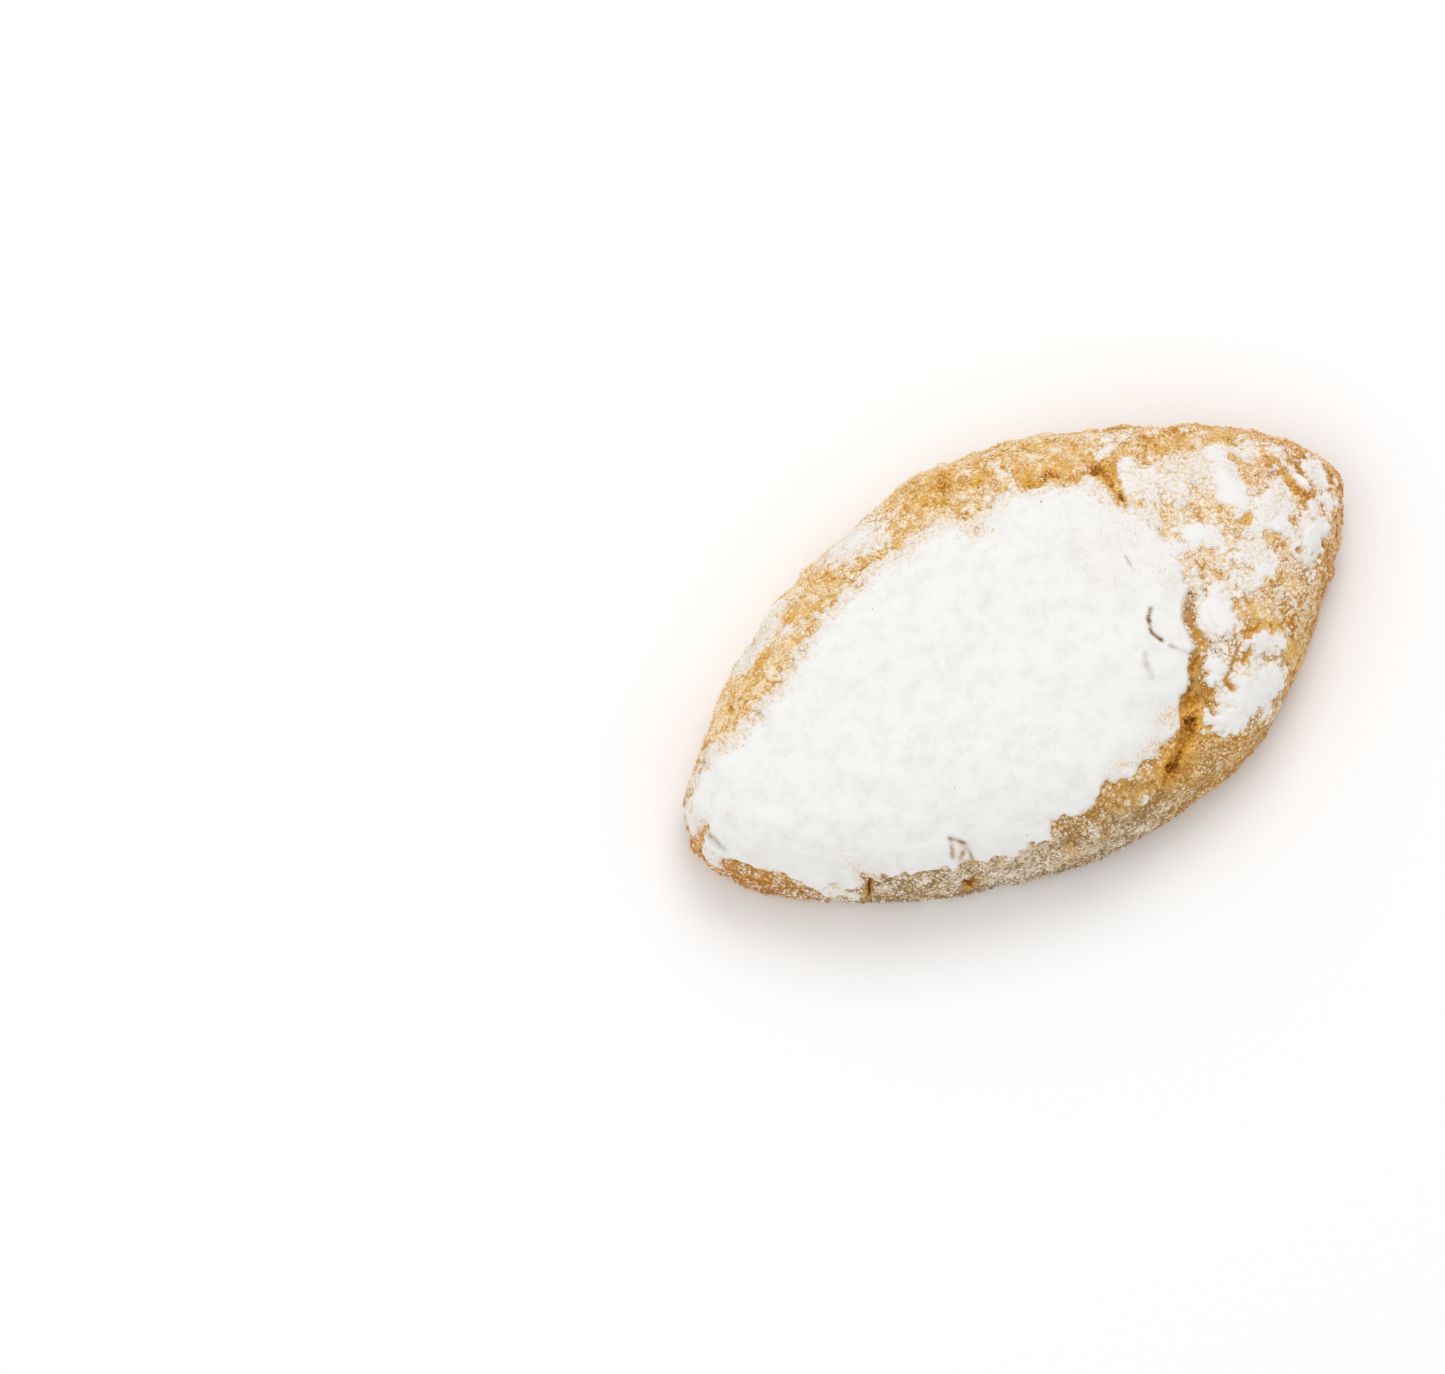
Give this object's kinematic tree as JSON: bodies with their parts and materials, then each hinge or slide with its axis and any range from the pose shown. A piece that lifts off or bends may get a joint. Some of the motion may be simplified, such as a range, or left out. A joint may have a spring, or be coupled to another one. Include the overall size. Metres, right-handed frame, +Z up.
{
  "type": "almond macaroon",
  "caption": "Soft almond biscuit, pointed at both ends and flat underneath, with a cracked crust under a broken sheet of icing sugar.",
  "frame": {"origin": "centre of the bounding box in X and Y, at the flat underside it rests on", "axes": "+X along the length from one point to the other, +Y across the width, +Z up"},
  "size_m": [0.0806, 0.0464, 0.0177],
  "materials": {
    "baked_almond_crust": "matt, granular, golden baked almond crust",
    "icing_sugar": "matt white powder, pressed into a thin sheet"
  },
  "bodies": {
    "root": {"macaroon": "baked_almond_crust"}
  },
  "joints": []
}
